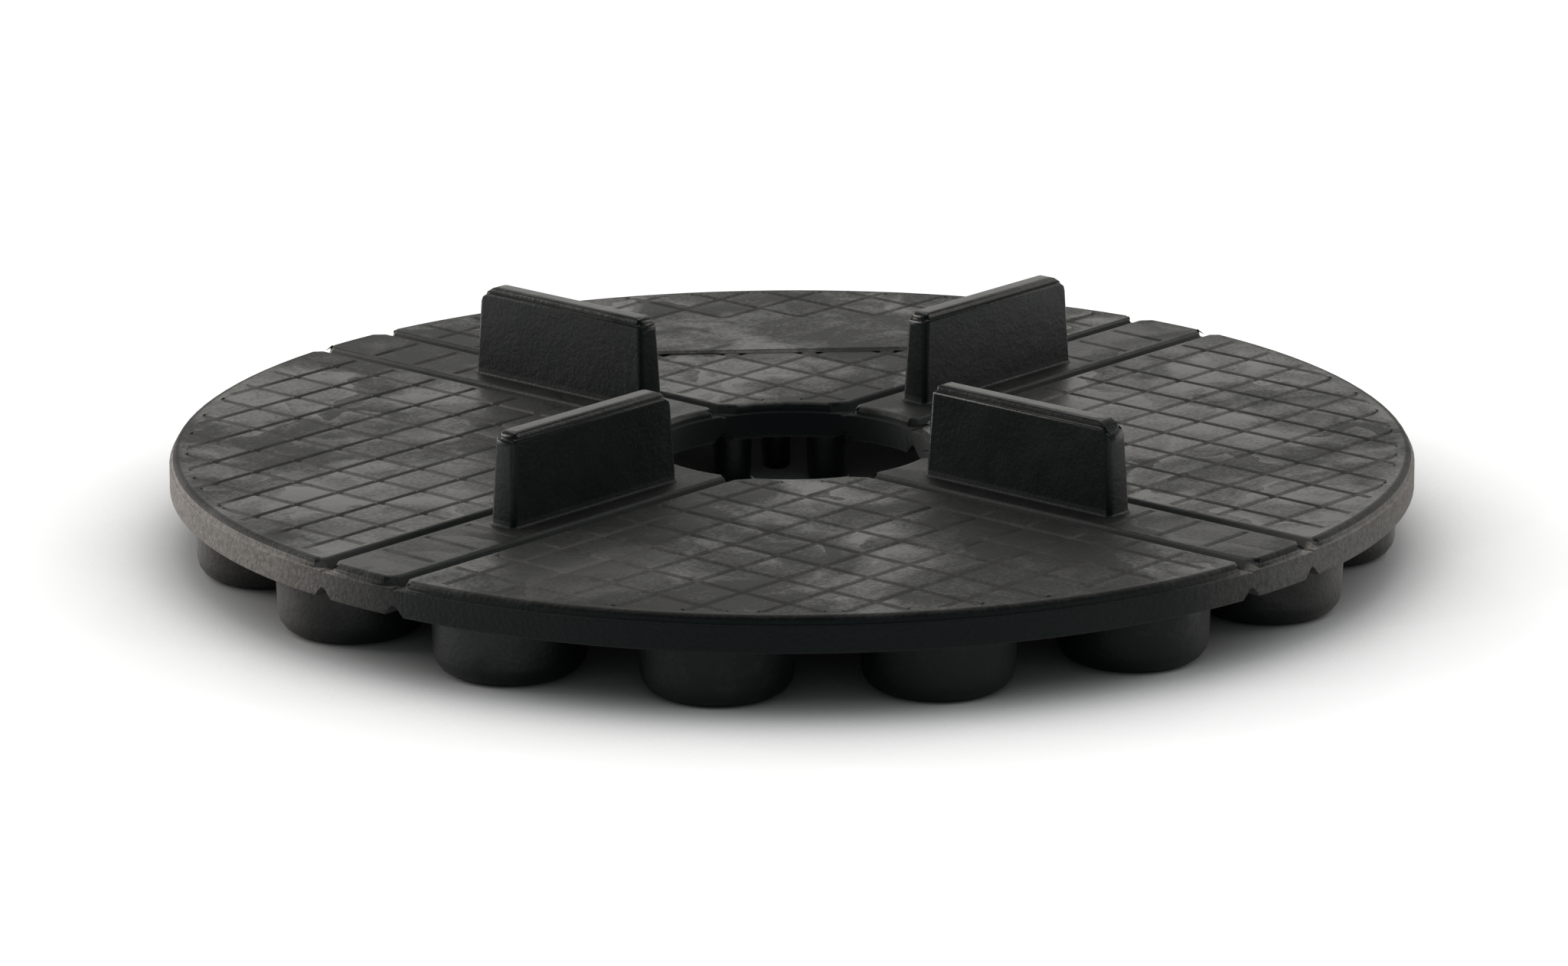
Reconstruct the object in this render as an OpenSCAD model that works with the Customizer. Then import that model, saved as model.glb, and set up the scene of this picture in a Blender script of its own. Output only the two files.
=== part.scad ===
// Slab support pad: one moulded disc on feet, with joint fins and break lines

/* [Disc] */
// Outer diameter of the disc
disc_d = 126; // [112:1:150]
// Height of the slab seat above the ground
seat_h = 10; // [8:0.5:16]
// Thickness of the disc
disc_t = 3.6; // [3.2:0.1:5]
// Diameter of the centre hole
hole_d = 28.4; // [24:0.2:32]
// Depth of the parting step below the seat, on the rim and in the hole
step_drop = 0.9; // [0.8:0.1:1.3]
// Width of the parting step
step_in = 0.3; // [0.1:0.1:0.5]
// Rounding of the upper edges
edge_r = 0.6; // [0.5:0.1:0.7]

/* [Break lines] */
// Distance of a break line from the middle of its fin
break_pos = 4.75; // [4.5:0.05:6.5]
// Width of a break line at its bottom
break_w = 0.4; // [0.3:0.1:1]
// Depth of a break line
break_d = 1.05; // [0.95:0.05:1.5]
// Lean of a break line's walls in degrees
break_lean = 30; // [10:5:40]
// Rounding of the shoulders of a break line
break_r = 0.4; // [0.2:0.1:0.4]
// Width of the notch under a break line
notch_w = 2.3; // [1.6:0.1:3]
// Depth of the notch under a break line
notch_d = 1; // [0.7:0.1:1.3]
// Rounding at the top of the notch
notch_r = 0.5; // [0.3:0.1:0.6]
// Easing of the corners where a break line runs out at the rim and the hole
corner_cut = 0.8; // [0.4:0.1:0.9]

/* [Joint fins] */
// Number of fins
fin_n = 4; // [4]
// Thickness of a fin at half its height
joint_w = 3; // [2:0.1:4]
// Height of a fin above the seat
fin_h = 9.5; // [6:0.1:20]
// Distance of a fin's inner end from the middle of the disc
fin_start = 19; // [18:0.5:26]
// Length of a fin at the seat
fin_len = 23.8; // [15:0.2:34]
// Draft of the fin's long faces in degrees
fin_draft = 2; // [0.5:0.5:3]
// Draft of the fin's ends in degrees
fin_end_draft = 3; // [0.5:0.5:5]
// Rounding of a fin's top corner at its outer end
fin_outer_r = 2.1; // [1:0.1:4]
// Rounding of a fin's top corner at its inner end
fin_inner_r = 1; // [0.7:0.1:4]
// The fin that stands the other way round, counted from the marking field's right
fin_turned = 3; // [0:4]
// Rounding of a fin's upright edges
fin_upright_r = 0.8; // [0.3:0.1:1]
// Flare where a fin meets the seat
fin_flare = 0.3; // [0.2:0.1:0.8]
// Height of the narrow crest on a fin
crest_h = 0.65; // [0.5:0.05:1]
// Width of the parting step beside the crest
crest_in = 0.3; // [0.2:0.05:0.4]
// Rounding of the crest's long edges
crest_r = 0.5; // [0.3:0.1:0.6]
// Rounding of the shoulders beside the crest
shoulder_r = 0.35; // [0.2:0.05:0.4]

/* [Feet] */
// Number of feet in the outer ring
foot_n = 16; // [12:4:16]
// Diameter of an outer foot at the disc
foot_d = 15.1; // [12:0.1:16]
// Distance from the rim to the outer feet
foot_inset = 1.6; // [1.2:0.1:8]
// Draft of the feet in degrees
foot_draft = 2; // [1:0.5:5]
// Rounding under the outer feet
foot_round = 2.2; // [0.5:0.1:2.5]
// Diameter of an inner foot at the disc
inner_foot_d = 4.3; // [3.6:0.1:6]
// Distance from the hole to the inner feet
inner_foot_inset = 4.8; // [3:0.1:10]
// Angle between the two inner feet of a sector
inner_foot_angle = 27; // [20:1:40]
// Diameter of the single post in the middle of a sector
post_d = 3.4; // [3:0.1:6]
// Distance of the single post from the hole
post_inset = 10; // [8:0.1:14]
// Rounding under the inner feet and the posts
post_round = 0.7; // [0.4:0.1:1]

/* [Surface grid] */
// Distance between the grid lines
grid_pitch = 5.8; // [5:0.05:10]
// Distance of the first grid line from the middle of the fins
grid_first = 9.4; // [8:0.1:12]
// Width of a grid line
grid_w = 0.8; // [0.5:0.1:1.2]
// Depth of a grid line
grid_d = 0.3; // [0.2:0.05:0.5]
// Length over which a grid line runs out
grid_run = 0.7; // [0.4:0.1:1.5]
// Plain band kept beside the rim and the hole
grid_margin = 0.8; // [0.5:0.1:2]
// Plain band kept beside the break lines
grid_gap = 0.3; // [0.2:0.1:1]

/* [Marking field] */
// Width of the raised blank field
field_w = 43; // [30:1:50]
// Length of the raised blank field along its sector
field_len = 13.4; // [8:0.2:16]
// Height of the field above the seat
field_rise = 0.3; // [0.2:0.05:0.6]
// Distance of the field from the middle of the disc
field_pos = 35.5; // [32:0.5:40]
// Slope around the field
field_slope = 0.4; // [0.2:0.1:1]

/* [Hidden] */
$fn = 96;
arc_steps = 4;
rim_r = disc_d / 2;
hole_r = hole_d / 2;
disc_z = seat_h - disc_t;
step_z = seat_h - step_drop;
sink = step_drop / 2;
web_mid = (disc_t - break_d + notch_d) / 2;
foot_ring_r = rim_r - foot_inset - foot_d / 2;
inner_foot_ring_r = hole_r + inner_foot_inset + inner_foot_d / 2;
post_ring_r = hole_r + post_inset + post_d / 2;
break_top = (break_d - break_r + break_r * sin(break_lean)) * tan(break_lean) + break_r * cos(break_lean);
sector_edge = break_pos + break_w / 2 + break_top + grid_gap;
strip_edge = break_pos - break_w / 2 - break_top - grid_gap;
grid_out_r = rim_r - step_in - edge_r - grid_margin;
grid_in_r = hole_r + step_in + edge_r + grid_margin;
grid_last = floor((grid_out_r - grid_first) / grid_pitch);
fin_end = fin_start + fin_len;

// Points of an arc, from one angle to another
function arc(cx, cy, r, from, to) =
    [for (i = [0:arc_steps]) let (a = from + (to - from) * i / arc_steps)
        [cx + r * cos(a), cy + r * sin(a)]];

// A list of points mirrored left to right, in reverse order
function mirrored(points) =
    [for (i = [len(points) - 1:-1:0]) [-points[i].x, points[i].y]];

// Distance to a circle of radius r, along a line that passes the middle at offset c
function reach(r, c) = sqrt(max(0, r * r - c * c));

// Disc with its stepped and rounded rim and hole
module disc() {
    out_r = rim_r - step_in;
    in_r = hole_r + step_in;
    rotate_extrude()
        polygon(concat(
            [[hole_r, disc_z], [rim_r, disc_z], [rim_r, step_z], [out_r, step_z]],
            arc(out_r - edge_r, seat_h - edge_r, edge_r, 0, 90),
            arc(in_r + edge_r, seat_h - edge_r, edge_r, 90, 180),
            [[in_r, step_z], [hole_r, step_z]]
        ));
}

// A bar along the fin's direction, over the whole disc, with the given section
module long_bar(section) {
    translate([-rim_r - 1, 0, 0])
        rotate([90, 0, 90])
            linear_extrude(disc_d + 2)
                polygon(section);
}

// Half of the section beside a cut: a leaning wall from distance x at depth d up to its rounded shoulder
function shoulder(x, d) = let (
    top = (d - break_r + break_r * sin(break_lean)) * tan(break_lean) + break_r * cos(break_lean)
) concat(
    [[x, -d]],
    arc(x + top, -break_r, break_r, 180 - break_lean, 90),
    [[x + top, 1]]
);

// Half of the notch's section: a sloping side that runs into the rounded top
function notch_half() = let (
    half = notch_w / 2,
    cz = notch_d - notch_r,
    a = atan2(cz, -half) - asin(notch_r / norm([half, cz])) - 90
) concat(
    [[half + notch_d * tan(a), -notch_d]],
    arc(0, cz, notch_r, a, 90)
);

// Break line: a groove with leaning walls above and an arched notch below
module break_line() {
    half = shoulder(break_w / 2, break_d);
    translate([0, 0, seat_h])
        long_bar(concat(half, mirrored(half)));
    translate([0, 0, disc_z])
        long_bar(concat(notch_half(), mirrored(notch_half())));
}

// Cut that eases one pad corner, at point p between two walls that face the given ways
module corner_cutter(p, wall, rim) {
    over = break_w / 8;
    half_l = corner_cut / tan(abs(wall - rim) / 2) + over;
    translate([p.x, p.y, seat_h])
        rotate([90, 0, (wall + rim) / 2])
            linear_extrude(2 * half_l, center = true)
                polygon(concat(
                    [for (q = shoulder(corner_cut, step_drop)) [-q.x, q.y]],
                    [[over, 1], [over, -step_drop]]
                ));
}

// The corner cuts where the break lines of one arm run out
module corner_cutters() {
    for (m = [0, 1], t = [-1, 1])
        mirror([0, m, 0]) {
            y = break_pos + t * break_w / 2;
            out_x = reach(rim_r - step_in, y);
            in_x = reach(hole_r + step_in, y);
            corner_cutter([out_x, y], -t * 90, atan2(y, out_x));
            corner_cutter([in_x, y], -t * 90, atan2(y, in_x) - t * 180);
        }
}

// One engraved line along X, from one distance to another
module grid_line(from, to) {
    translate([from, 0, seat_h])
        rotate([90, 0, 90])
            linear_extrude(to - from)
                polygon([[-grid_w, grid_d], [0, -grid_d], [grid_w, grid_d]]);
}

// The engraved lines of one sector that run along X
module sector_lines() {
    for (k = [0:grid_last]) {
        c = grid_first + k * grid_pitch;
        from = max(sector_edge, reach(grid_in_r, c));
        to = reach(grid_out_r, c);
        if (to - from > grid_pitch / 2)
            translate([0, c, 0])
                grid_line(from - grid_run / 4, to + grid_run / 4);
    }
}

// Side of the space for grid lines: its floor slopes down from the border at x, for the given depth
function run_out(x, depth) =
    [[x, 1], [x, 0], [x + grid_run * depth / grid_d, -depth]];

// Space on one side of a break line, shallower towards it
module border_space(depth) {
    far = rim_r + 1;
    rotate([90, 0, 0])
        linear_extrude(2 * far, center = true)
            polygon(concat(run_out(sector_edge, depth), [[far, -depth], [far, 1]]));
}

// Space for the grid lines of one sector, shallower towards its borders
module sector_space() {
    translate([0, 0, seat_h])
        intersection() {
            rotate_extrude()
                polygon(concat(run_out(grid_in_r, 1.5 * grid_d), mirrored(run_out(-grid_out_r, 1.5 * grid_d))));
            border_space(2 * grid_d);
            mirror([1, -1, 0])
                border_space(2.5 * grid_d);
        }
}

// The short engraved lines across the strip outside a fin, with sloping ends
module strip_lines() {
    intersection() {
        for (k = [0:grid_last]) {
            x = grid_first + k * grid_pitch;
            if (x > fin_end + fin_flare + grid_w && x < grid_out_r - grid_w)
                translate([x, 0, 0])
                    rotate(90)
                        grid_line(-strip_edge - grid_run / 4, strip_edge + grid_run / 4);
        }
        translate([fin_end, 0, seat_h])
            rotate([90, 0, 90])
                linear_extrude(rim_r - fin_end)
                    polygon(concat(run_out(-strip_edge, 1.5 * grid_d), mirrored(run_out(-strip_edge, 1.5 * grid_d))));
    }
}

// Half of a fin layer's outline: half its width at the seat, its top, draft, rounding and inset
function wall_half(half, top, draft, r, inset) = let (
    t = tan(draft),
    cy = top - r
) concat(
    inset > 0
        ? [[half - top / 2 * t, top / 2]]
        : [[half + fin_flare, -sink], [half + fin_flare, 0], [half - fin_flare * t, fin_flare]],
    arc(half - cy * t - r / cos(draft), cy, r, draft, 90)
);

// Prism that rounds two upright edges of a fin layer, turned by angle a
module upright(a, half_l, half_w, top, inset) {
    function half(z) = (half_l - z * tan(fin_end_draft) - fin_upright_r) * cos(a)
        + (half_w - z * tan(fin_draft) - fin_upright_r) * abs(sin(a)) + fin_upright_r;
    side = concat(
        inset > 0
            ? [[half(top / 2), top / 2]]
            : [[half(0) + fin_flare, -sink], [half(0) + fin_flare, 0], [half(fin_flare), fin_flare]],
        [[half(top + 1), top + 1]]
    );
    rotate(a)
        rotate([90, 0, 0])
            linear_extrude(3 * fin_len, center = true)
                polygon(concat(side, mirrored(side)));
}

// One layer of a fin: the body, or the narrower crest set in from it
module fin_layer(top, long_r, outer_r, inner_r, inset) {
    half_w = joint_w / 2 + fin_h / 2 * tan(fin_draft) - inset;
    half_l = fin_len / 2 - inset;
    side = wall_half(half_w, top, fin_draft, long_r, inset);
    intersection() {
        rotate([90, 0, 90])
            linear_extrude(2 * fin_len, center = true)
                polygon(concat(side, mirrored(side)));
        rotate([90, 0, 0])
            linear_extrude(4 * joint_w, center = true)
                polygon(concat(
                    wall_half(half_l, top, fin_end_draft, outer_r, inset),
                    mirrored(wall_half(half_l, top, fin_end_draft, inner_r, inset))
                ));
        upright(30, half_l, half_w, top, inset);
        upright(60, half_l, half_w, top, inset);
        upright(-30, half_l, half_w, top, inset);
        upright(-60, half_l, half_w, top, inset);
    }
}

// Joint fin on the seat, drafted on all sides, with a stepped crest and its inner end at fin_start
module fin(turned) {
    outer_r = turned ? fin_inner_r : fin_outer_r;
    inner_r = turned ? fin_outer_r : fin_inner_r;
    share = 1 - crest_h / fin_outer_r / 2;
    translate([fin_start + fin_len / 2, 0, seat_h]) {
        fin_layer(fin_h - crest_h, shoulder_r, outer_r * share, inner_r * share, 0);
        fin_layer(fin_h, crest_r, outer_r, inner_r, crest_in);
    }
}

// Round foot under the disc, drafted and rounded at the ground
module foot(d, round_r) {
    t = tan(foot_draft);
    ground_r = d / 2 - disc_z * t;
    arc_r = ground_r + round_r * t - round_r / cos(foot_draft);
    rotate_extrude()
        polygon(concat(
            [[0, 0]],
            arc(arc_r, round_r, round_r, -90, -foot_draft),
            [[d / 2 + web_mid * t, disc_z + web_mid], [0, disc_z + web_mid]]
        ));
}

// Section of the marking field over the given width
module field_section(w) {
    polygon([[-w / 2 - field_slope, -sink], [w / 2 + field_slope, -sink],
        [w / 2 + field_slope, 0], [w / 2, field_rise], [-w / 2, field_rise], [-w / 2 - field_slope, 0]]);
}

// Low blank field for a marking, across one sector
module field() {
    rotate(45)
        translate([field_pos + field_len / 2, 0, seat_h])
            intersection() {
                rotate([90, 0, 90])
                    linear_extrude(2 * field_len, center = true)
                        field_section(field_w);
                rotate([90, 0, 0])
                    linear_extrude(2 * field_w, center = true)
                        field_section(field_len);
            }
}

// The whole support, moulded in one piece
module support_pad() {
    color([0.13, 0.13, 0.125]) {
        difference() {
            disc();
            for (a = [0:90:270])
                rotate(a) {
                    if (a < 180)
                        for (s = [-1, 1])
                            translate([0, s * break_pos, 0])
                                break_line();
                    intersection() {
                        union() {
                            sector_lines();
                            mirror([1, -1, 0])
                                sector_lines();
                        }
                        sector_space();
                    }
                    strip_lines();
                    corner_cutters();
                }
        }
        for (i = [1:fin_n])
            rotate((i - 1) * 360 / fin_n)
                fin(i == fin_turned);
        for (i = [0.5:foot_n])
            rotate(i * 360 / foot_n)
                translate([foot_ring_r, 0, 0])
                    foot(foot_d, foot_round);
        for (a = [45:90:315]) {
            for (s = [-1, 1])
                rotate(a + s * inner_foot_angle / 2)
                    translate([inner_foot_ring_r, 0, 0])
                        foot(inner_foot_d, post_round);
            rotate(a)
                translate([post_ring_r, 0, 0])
                    foot(post_d, post_round);
        }
        field();
    }
}

support_pad();
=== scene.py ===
import math
from types import SimpleNamespace

import bpy
from mathutils import Euler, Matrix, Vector


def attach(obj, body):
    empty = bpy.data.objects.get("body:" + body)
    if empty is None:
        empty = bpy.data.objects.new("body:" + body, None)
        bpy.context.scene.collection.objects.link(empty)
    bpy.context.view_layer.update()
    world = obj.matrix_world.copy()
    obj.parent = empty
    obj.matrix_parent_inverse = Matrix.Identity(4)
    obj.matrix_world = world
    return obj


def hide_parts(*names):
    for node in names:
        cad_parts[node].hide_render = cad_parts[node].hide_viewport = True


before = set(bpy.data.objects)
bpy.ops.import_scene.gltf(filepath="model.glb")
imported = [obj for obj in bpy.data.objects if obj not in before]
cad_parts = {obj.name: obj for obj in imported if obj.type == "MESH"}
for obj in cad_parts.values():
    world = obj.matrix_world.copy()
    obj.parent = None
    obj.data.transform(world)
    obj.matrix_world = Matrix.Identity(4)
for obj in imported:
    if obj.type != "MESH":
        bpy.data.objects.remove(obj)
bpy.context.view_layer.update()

# Directions of the picture, on the ground plane
TO_RIGHT = Vector((0.6607, -0.7506, 0.0))
AWAY = Vector((0.7506, 0.6607, 0.0))
UP = Vector((0.0, 0.0, 1.0))
PAD_MIDDLE = Vector((0.0, 0.0, 0.010))

# Camera, fitted to the rim, the hole, the fins and the feet; the turn is in degrees
SENSOR_WIDTH = 36.0
LENS = 171.075
CAMERA_PLACE = (-0.547592, -0.481672, 0.209176)
CAMERA_TURN = (74.3916, 0.1595, -48.6459)

# Heights where the finish changes, each from the first to the second, in millimetres
DISC_BOTTOM = (6.2, 6.6)
ABOVE_BOTTOM = (6.5, 6.7)
EDGE_STEP = (9.3, 9.6)
BELOW_GRID = (9.5, 9.65)
GROOVE_MOUTH = (9.70, 9.93)
GRID_LINE_MOUTH = (9.95, 9.99)
SEAT = (10.0, 10.06)
FIN_FOOT = (9.9, 10.2)
FIN_WALL = (10.4, 10.8)
CREST_GLOSS = (18.3, 18.7)
CREST = (18.4, 18.7)
CREASE_STARTS = (18.82, 18.87)
CREASE_ENDS = (18.92, 19.00)

# Distances from the middle of the pad, in millimetres; the last is to the picture's two sides
LINES_FADE = (58.8, 60.6)
LINES_END = (60.8, 61.4)
RIM_STARTS = (61.6, 62.2)
DUST_AND_SIDE_LIGHT = (34.0, 52.0)

# Break lines, strips and grid, in millimetres from the planes of the fins
BREAK_LINE_PLACE = 4.75
BREAK_LINE_SIDE = (1.0, 1.4)
STRIP_EDGE = (3.9, 4.9)
SECTOR_EDGE = (-1.0, 1.0)
GRID_HALF_PITCH = 2.9
GRID_SHIFT = 2.2
GRID_LINE_SIDE = (0.42, 0.60)

# How far a face looks up, from 0 for a wall to 1 for a flat
LEANING = (0.15, 0.5)
FLAT = (0.75, 0.97)

# Colours in linear light
TOP_DARK = (0.002, 0.003, 0.003, 1.0)
TOP_PALE = (0.049, 0.049, 0.047, 1.0)
# Paler colour for grid lines that run along the light: a painted light on their walls
LINE_PAINTED_LIGHT = (0.100, 0.092, 0.087, 1.0)
# Painted shade in the grooves
GROOVE_PAINTED_SHADE = (0.010, 0.010, 0.010, 1.0)
FIN_DARK = (0.012, 0.016, 0.016, 1.0)
FIN_PALE = (0.022, 0.025, 0.024, 1.0)
# Painted shade in the crease below each crest
CREASE_PAINTED_SHADE = (0.006, 0.006, 0.006, 1.0)
FOOT_DARK = (0.027, 0.031, 0.030, 1.0)
# Feet paler toward the left and right of the view: dust with painted side light
FOOT_DUST_AND_SIDE_LIGHT = (0.092, 0.086, 0.082, 1.0)
RIM_DARK = (0.014, 0.018, 0.018, 1.0)
# Sandy rim toward the left and right of the view: sand grain with painted side light
SIDE_LIT_SAND_DARK = (0.195, 0.180, 0.171, 1.0)
SIDE_LIT_SAND_PALE = (0.335, 0.308, 0.294, 1.0)
FLOOR_FOR_LIGHT = (0.15, 0.15, 0.15, 1.0)
FLOOR_IN_VIEW = (0.30, 0.30, 0.30, 1.0)
WHITE = (1.0, 1.0, 1.0, 1.0)
COOL_SKY = (0.6, 1.0, 1.0, 1.0)
PANEL_WHITE = (1.0, 0.940, 0.895)

# Roughness of each kind of surface
BARE_ROUGH = 0.60
MARKS_ROUGH = 0.32
FINS_ROUGH = 0.33
CRESTS_ROUGH = 0.30
CREASE_ROUGH = 0.90
RIM_ROUGH = 0.70

# Depth of the grain in millimetres
SAND_ON_WALLS = 0.04
SAND_ON_FLATS = 0.02
SAND_ON_RIM = 0.11
SAND_BELOW_DISC = 0.05
LUMPS = 0.05
SWELL = 0.16

# Shadow and glow of the floor: the pad's edge and the reach of the shadow, in metres
PAD_EDGE = (0.048, 0.062)
SHADOW_UNDER_PAD = 0.045
SHADOW_OUTSIDE = 0.020
SHADOW_DEPTH = 2.0
FLOOR_GLOW = 0.86

# Softened edges of the moulding, in metres and degrees
WELD_DISTANCE = 2e-6
COPLANAR_ANGLE = 0.5
EDGE_WIDTH = 0.00012
EDGE_ANGLE = 60
SMOOTH_ANGLE = 50


def only(obj):
    """Selects one object and makes it active."""
    bpy.ops.object.select_all(action="DESELECT")
    obj.select_set(True)
    bpy.context.view_layer.objects.active = obj


def apply_modifier(obj, kind, **settings):
    """Adds a modifier with the given settings and applies it."""
    only(obj)
    modifier = obj.modifiers.new(kind.lower(), kind)
    for name, value in settings.items():
        setattr(modifier, name, value)
    bpy.ops.object.modifier_apply(modifier=modifier.name)


# Camera

def picture_camera():
    """The camera at the photo's viewing angle."""
    data = bpy.data.cameras.new("picture_camera")
    data.sensor_width = SENSOR_WIDTH
    data.lens = LENS
    data.clip_start = 0.01
    camera = bpy.data.objects.new("picture_camera", data)
    camera.location = CAMERA_PLACE
    camera.rotation_euler = Euler([math.radians(angle) for angle in CAMERA_TURN], "XYZ")
    bpy.context.scene.collection.objects.link(camera)
    bpy.context.scene.camera = camera


# Material nodes

class Sheet:
    """A node tree with short calls for the nodes that this scene needs."""

    def __init__(self, tree):
        self.tree = tree
        tree.nodes.clear()

    def node(self, kind, inputs=None, **settings):
        node = self.tree.nodes.new(kind)
        for name, value in settings.items():
            setattr(node, name, value)
        for name, value in (inputs or {}).items():
            self.feed(node.inputs[name], value)
        return node

    def feed(self, socket, value):
        if isinstance(value, bpy.types.NodeSocket):
            self.tree.links.new(value, socket)
        else:
            socket.default_value = value

    def math(self, operation, a, b=0.0, c=0.0, clamp=False):
        node = self.node("ShaderNodeMath", {0: a, 1: b, 2: c},
                         operation=operation, use_clamp=clamp)
        return node.outputs[0]

    def chain(self, operation, first, *others):
        """One value after the other through the same operation."""
        for other in others:
            first = self.math(operation, first, other)
        return first

    def times(self, *values):
        return self.chain("MULTIPLY", *values)

    def plus(self, *values):
        return self.chain("ADD", *values)

    def most(self, *values):
        return self.chain("MAXIMUM", *values)

    def least(self, *values):
        return self.chain("MINIMUM", *values)

    def size(self, value):
        return self.math("ABSOLUTE", value)

    def rest(self, share):
        """What a share leaves of 1."""
        return self.math("SUBTRACT", 1.0, share)

    def vector(self, operation, a, b=None, scale=None):
        inputs = {0: a}
        if b is not None:
            inputs[1] = b
        if scale is not None:
            inputs["Scale"] = scale
        return self.node("ShaderNodeVectorMath", inputs, operation=operation).outputs["Vector"]

    def noise(self, where, scale, detail=2.0, rough=0.5, output="Fac"):
        return self.node("ShaderNodeTexNoise", {
            "Vector": where, "Scale": scale, "Detail": detail, "Roughness": rough,
        }).outputs[output]

    def span(self, value, low, high, to_low=0.0, to_high=1.0, smooth=True):
        """A value's way from low to high, as a way between two other numbers."""
        node = self.node("ShaderNodeMapRange", {
            "Value": value, "From Min": low, "From Max": high,
            "To Min": to_low, "To Max": to_high,
        }, interpolation_type="SMOOTHSTEP" if smooth else "LINEAR")
        return node.outputs["Result"]

    def fall(self, value, low, high):
        """1 below the low end and 0 above the high one."""
        return self.span(value, low, high, 1.0, 0.0)

    def between(self, share, a, b):
        """A number between two others."""
        node = self.node("ShaderNodeMix", {"Factor": share, "A": a, "B": b}, data_type="FLOAT")
        return node.outputs[0]

    def blend(self, share, a, b):
        """A colour between two others."""
        node = self.node("ShaderNodeMix", data_type="RGBA")
        self.feed(node.inputs["Factor"], share)
        self.feed(node.inputs[6], a)
        self.feed(node.inputs[7], b)
        return node.outputs[2]


# The rubber

def pad_places(s):
    """Where a point of the pad lies, in millimetres, and its share in each kind of surface."""
    at = SimpleNamespace()
    at.mm = s.vector("SCALE", s.node("ShaderNodeTexCoord").outputs["Object"], scale=1000.0)
    split = s.node("ShaderNodeSeparateXYZ", {0: at.mm})
    at.x, at.y, at.z = (split.outputs[axis] for axis in "XYZ")
    at.reach = s.math("SQRT", s.plus(s.times(at.x, at.x), s.times(at.y, at.y)))
    normal = s.node("ShaderNodeNewGeometry").outputs["Normal"]
    facing = s.node("ShaderNodeSeparateXYZ", {0: normal}).outputs["Z"]

    off_x, off_y = (
        s.span(s.size(s.math("SUBTRACT", s.size(way), BREAK_LINE_PLACE)), *BREAK_LINE_SIDE)
        for way in (at.x, at.y))
    at.clear = s.times(off_x, off_y, s.span(at.z, *BELOW_GRID))
    shallow = s.times(at.clear, s.fall(at.z, *SEAT))
    at.rim = s.times(s.span(at.reach, *RIM_STARTS), s.span(at.z, *DISC_BOTTOM))
    ledge = s.times(at.rim, s.fall(at.z, *EDGE_STEP))
    crest = s.times(s.span(facing, *LEANING), s.span(at.z, *CREST))
    at.crease = s.times(s.span(at.z, *CREASE_STARTS), s.fall(at.z, *CREASE_ENDS))
    # Crests count as flats, so they take the flats' paler colour: a painted highlight along the
    # crests
    at.level = s.times(s.most(crest, shallow, s.span(facing, *FLAT)), s.rest(ledge))
    return at


def groove_shares(s, at):
    """Painted shade in the grooves and grid lines, and a paler painted light on the grid lines that
    run along the light.
    """
    on_line_x, on_line_y = (
        s.fall(s.math("PINGPONG", s.plus(s.size(way), GRID_SHIFT), GRID_HALF_PITCH),
               *GRID_LINE_SIDE)
        for way in (at.y, at.x))
    left = s.times(s.fall(at.x, *SECTOR_EDGE), s.span(at.y, *SECTOR_EDGE))
    right = s.times(s.span(at.x, *SECTOR_EDGE), s.fall(at.y, *SECTOR_EDGE))

    def by_sector(anywhere, in_left, in_right):
        return s.plus(s.times(left, in_left), s.times(right, in_right), anywhere)

    # Painted shade in the grid lines, darker on the lines that cross the light: along X in the left
    # sector, along Y in the right
    line = s.most(s.times(on_line_x, by_sector(0.42, in_left=0.58, in_right=-0.08)),
                  s.times(on_line_y, by_sector(0.42, in_left=-0.20, in_right=0.45)))
    uneven = s.span(s.noise(at.mm, scale=0.11), 0.35, 0.65, 0.75, 1.1)
    faded = s.span(at.reach, *LINES_FADE, 1.0, 0.3)
    line = s.math("MULTIPLY", s.times(line, uneven), faded, clamp=True)

    on_line = s.times(s.most(on_line_x, on_line_y), s.fall(at.z, *GRID_LINE_MOUTH),
                      s.fall(at.reach, *LINES_END))
    in_grid = s.times(on_line, at.clear)
    # A paler colour on the grid lines that run along the light in each sector: painted light in
    # place of their shade
    painted_line_light = s.times(in_grid, s.rest(line), by_sector(0.22, in_left=0.62, in_right=0.16))
    sunk = s.times(s.fall(at.z, *GROOVE_MOUTH), s.span(at.z, *ABOVE_BOTTOM))
    # The break grooves get painted shade too, fading out at the rim
    in_break_line = s.span(at.reach, *RIM_STARTS, 0.8, 0.0)
    darkness = s.between(at.clear, in_break_line, s.times(line, 0.74))
    return s.times(s.most(sunk, in_grid), darkness), painted_line_light


def flow_marks(s, at):
    """Clouds with a warped outline, fronts with one sharp side, and specks, darker on the strips
    beside the fins as a painted shade.
    """
    swirl = s.noise(at.mm, scale=0.07, detail=3.0, output="Color")
    swirl = s.vector("SUBTRACT", swirl, (0.5, 0.5, 0.5))
    flowed = s.vector("ADD", at.mm, s.vector("SCALE", swirl, scale=26.0))
    clouds = s.span(s.noise(flowed, scale=0.045, detail=4.0, rough=0.58), 0.42, 0.61)
    smears = s.span(s.noise(flowed, scale=0.14, detail=4.0, rough=0.6), 0.38, 0.68)
    fronts = s.math("FRACT", s.times(s.noise(flowed, scale=0.03, rough=0.4), 9.0))
    fronts = s.math("POWER", fronts, 3.0)
    patches = s.span(s.noise(at.mm, scale=0.06), 0.45, 0.62)
    speck = s.math("SUBTRACT", s.span(s.noise(at.mm, scale=2.2, detail=1.0), 0.3, 0.7), 0.5)
    marks = s.plus(s.times(clouds, 0.60), s.times(smears, 0.30),
                   s.times(fronts, patches, 0.55), s.times(speck, 0.25))
    marks = s.math("MULTIPLY_ADD", marks, 1.35, -0.20, clamp=True)
    # Darker on the strips beside the fins: a painted shade of the fins
    strip = s.least(s.size(at.x), s.size(at.y))
    return s.times(marks, s.span(strip, *STRIP_EDGE, 0.56, 1.0))


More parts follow.
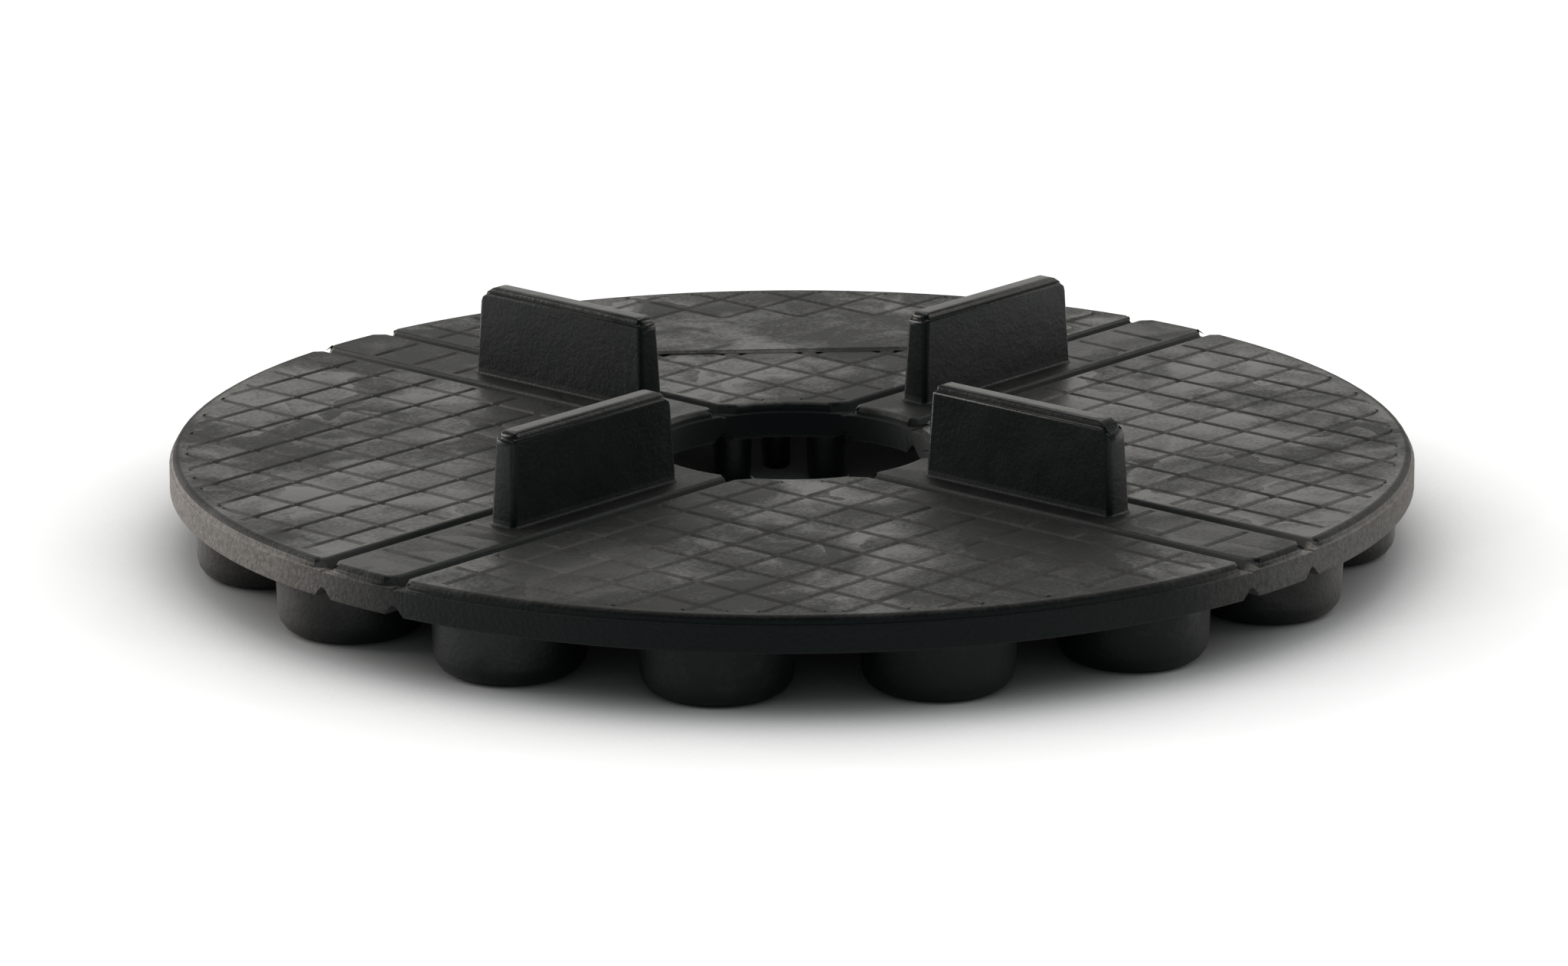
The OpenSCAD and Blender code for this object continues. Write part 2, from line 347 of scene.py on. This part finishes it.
def pad_colour(s, at, marks, sunk, painted_line_light):
    """Flow marks on top, painted shade in the grooves and crease, painted light on some grid lines
    and the crests, plain fins, and dust with painted side light on the feet and the rim's two
    sides.
    """
    top = s.blend(marks, TOP_DARK, TOP_PALE)
    # Painted light on the grid lines that run along the light
    top = s.blend(painted_line_light, top, LINE_PAINTED_LIGHT)
    # Painted shade in the grooves and grid lines
    top = s.blend(sunk, top, GROOVE_PAINTED_SHADE)
    smoky = s.span(s.noise(at.mm, scale=0.25, detail=4.0, rough=0.6), 0.35, 0.7)
    fin = s.blend(smoky, FIN_DARK, FIN_PALE)
    aside = s.size(s.plus(s.times(at.x, TO_RIGHT.x), s.times(at.y, TO_RIGHT.y)))
    # Paler toward the left and right of the view, on the feet and the rim: dust and sand with
    # painted side light
    side_light_and_dust = s.span(aside, *DUST_AND_SIDE_LIGHT)
    foot = s.blend(side_light_and_dust, FOOT_DARK, FOOT_DUST_AND_SIDE_LIGHT)
    wall = s.blend(s.span(at.z, *FIN_FOOT), foot, fin)
    grains = s.span(s.noise(at.mm, scale=1.5, detail=4.0, rough=0.75), 0.34, 0.66)
    rim = s.blend(side_light_and_dust, RIM_DARK, s.blend(grains, SIDE_LIT_SAND_DARK, SIDE_LIT_SAND_PALE))
    colour = s.blend(at.level, s.blend(at.rim, wall, rim), top)
    # Painted shade in the crease below each crest
    return s.blend(s.times(at.crease, 0.5), colour, CREASE_PAINTED_SHADE)


def pad_grain(s, at):
    """Coarse sand on the rim, fine on the other walls, softer on the seat."""
    sand = s.noise(at.mm, scale=2.2, detail=3.0, rough=0.6)
    lumps = s.noise(at.mm, scale=0.55, detail=3.0)
    swell = s.noise(at.mm, scale=0.12)
    below_disc = s.span(at.z, *DISC_BOTTOM, SAND_BELOW_DISC, 0.0)
    sand_depth = s.plus(s.span(at.level, 0.0, 1.0, SAND_ON_WALLS, SAND_ON_FLATS),
                        s.most(s.times(at.rim, SAND_ON_RIM), below_disc))
    height = s.plus(s.times(sand, sand_depth), s.times(lumps, LUMPS), s.times(swell, SWELL))
    bump = s.node("ShaderNodeBump", {"Height": height, "Strength": 0.7, "Distance": 0.001})
    return bump.outputs["Normal"]


def pad_roughness(s, at, marks, sunk):
    """Half gloss on the flow marks and fins, most on the crests, none in the grooves."""
    rough = s.span(marks, 0.0, 1.0, BARE_ROUGH, MARKS_ROUGH, smooth=False)
    rough = s.least(rough, s.span(at.z, *FIN_WALL, 1.0, FINS_ROUGH),
                    s.span(at.z, *CREST_GLOSS, 1.0, CRESTS_ROUGH))
    return s.most(rough, sunk, s.times(at.crease, CREASE_ROUGH), s.times(at.rim, RIM_ROUGH))


def moulded_rubber():
    """Half-gloss black moulded rubber with cloudy flow marks on the flats, painted shade in the
    grooves, and sandy sides with painted side light.
    """
    material = bpy.data.materials.new("moulded_rubber")
    material.use_nodes = True
    s = Sheet(material.node_tree)
    at = pad_places(s)
    marks = flow_marks(s, at)
    sunk, painted_line_light = groove_shares(s, at)
    shader = s.node("ShaderNodeBsdfPrincipled", {
        "Base Color": pad_colour(s, at, marks, sunk, painted_line_light),
        "Roughness": pad_roughness(s, at, marks, sunk),
        "Normal": pad_grain(s, at),
        "Specular IOR Level": 0.28,
    })
    s.node("ShaderNodeOutputMaterial", {"Surface": shader.outputs[0]})
    return material


# The moulding

def moulded_pad(cad):
    """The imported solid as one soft-edged moulding."""
    pad = bpy.data.objects.new("moulded_pad", cad.data.copy())
    bpy.context.scene.collection.objects.link(pad)
    only(pad)
    bpy.ops.mesh.customdata_custom_splitnormals_clear()
    bpy.ops.object.mode_set(mode="EDIT")
    bpy.ops.mesh.select_all(action="SELECT")
    bpy.ops.mesh.remove_doubles(threshold=WELD_DISTANCE)
    bpy.ops.mesh.dissolve_limited(angle_limit=math.radians(COPLANAR_ANGLE))
    bpy.ops.object.mode_set(mode="OBJECT")
    apply_modifier(pad, "BEVEL", width=EDGE_WIDTH, segments=2, limit_method="ANGLE",
                   angle_limit=math.radians(EDGE_ANGLE), use_clamp_overlap=False,
                   miter_outer="MITER_ARC")
    only(pad)
    bpy.ops.object.shade_smooth_by_angle(angle=math.radians(SMOOTH_ANGLE))
    pad.modifiers.new("even_shading", "WEIGHTED_NORMAL").keep_sharp = True
    return pad


# Stage and light

def floor_paint():
    """Pale paint that looks white from above, darker near the pad, and is clear from below."""
    material = bpy.data.materials.new("studio_floor")
    material.use_nodes = True
    s = Sheet(material.node_tree)
    light_path = s.node("ShaderNodeLightPath")
    seen = s.most(*(light_path.outputs[f"Is {ray} Ray"]
                    for ray in ("Camera", "Glossy", "Transmission")))
    paint = s.node("ShaderNodeBsdfDiffuse", {
        "Color": s.blend(seen, FLOOR_FOR_LIGHT, FLOOR_IN_VIEW),
    })
    spot = s.node("ShaderNodeTexCoord").outputs["Object"]
    from_middle = s.node("ShaderNodeVectorMath", {0: spot}, operation="LENGTH").outputs["Value"]
    shadow_reach = s.span(from_middle, *PAD_EDGE, SHADOW_UNDER_PAD, SHADOW_OUTSIDE)
    shadow = s.node("ShaderNodeAmbientOcclusion", {"Distance": shadow_reach}, samples=8)
    open_sky = s.math("POWER", shadow.outputs["AO"], SHADOW_DEPTH)
    glow = s.node("ShaderNodeEmission", {
        "Color": WHITE, "Strength": s.times(seen, open_sky, FLOOR_GLOW),
    })
    both = s.node("ShaderNodeAddShader", {0: paint.outputs[0], 1: glow.outputs[0]})
    below = s.node("ShaderNodeNewGeometry").outputs["Backfacing"]
    clear = s.node("ShaderNodeBsdfTransparent")
    surface = s.node("ShaderNodeMixShader", {0: below, 1: both.outputs[0], 2: clear.outputs[0]})
    s.node("ShaderNodeOutputMaterial", {"Surface": surface.outputs[0]})
    return material


def stage_floor():
    """A plain floor under the pad that keeps its shadow."""
    bpy.ops.object.select_all(action="DESELECT")
    bpy.ops.mesh.primitive_plane_add(size=6.0, location=(0.0, 0.0, 0.0))
    floor = bpy.context.active_object
    floor.name = "studio_floor"
    floor.data.materials.append(floor_paint())


def softbox(name, aim, rise, distance, size, watts):
    """A rectangular soft light in a ground direction, raised by an angle, that looks at the pad."""
    angle = math.radians(rise)
    spot = PAD_MIDDLE + (aim.normalized() * math.cos(angle) + UP * math.sin(angle)) * distance
    data = bpy.data.lights.new(name, "AREA")
    data.shape = "RECTANGLE"
    data.size, data.size_y = size
    data.energy = watts
    data.color = PANEL_WHITE
    light = bpy.data.objects.new(name, data)
    light.location = spot
    light.rotation_euler = (spot - PAD_MIDDLE).to_track_quat("Z", "Y").to_euler()
    light.visible_camera = False
    bpy.context.scene.collection.objects.link(light)


def studio_light():
    """White panels behind and beside the pad, one overhead, and a little cool light all round."""
    softbox("back_panel", aim=AWAY, rise=22.0, distance=1.1, size=(1.5, 0.75), watts=3.4)
    for name, side, watts in (("left_panel", -TO_RIGHT, 8.2), ("right_panel", TO_RIGHT, 3.2)):
        softbox(name, aim=AWAY * 0.42 + side * 0.91, rise=16.0, distance=1.0,
                size=(0.85, 0.52), watts=watts)
    softbox("overhead_panel", aim=AWAY, rise=70.0, distance=0.9, size=(0.7, 0.7), watts=3.4)
    world = bpy.data.worlds.new("studio")
    world.use_nodes = True
    s = Sheet(world.node_tree)
    sky = s.node("ShaderNodeBackground", {"Color": COOL_SKY, "Strength": 0.10})
    s.node("ShaderNodeOutputWorld", {"Surface": sky.outputs[0]})
    bpy.context.scene.world = world
    bpy.context.scene.view_settings.view_transform = "Standard"


picture_camera()
stage_floor()
studio_light()
pad = moulded_pad(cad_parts["support_pad"])
pad.data.materials.clear()
pad.data.materials.append(moulded_rubber())
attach(pad, "root")
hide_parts("support_pad")
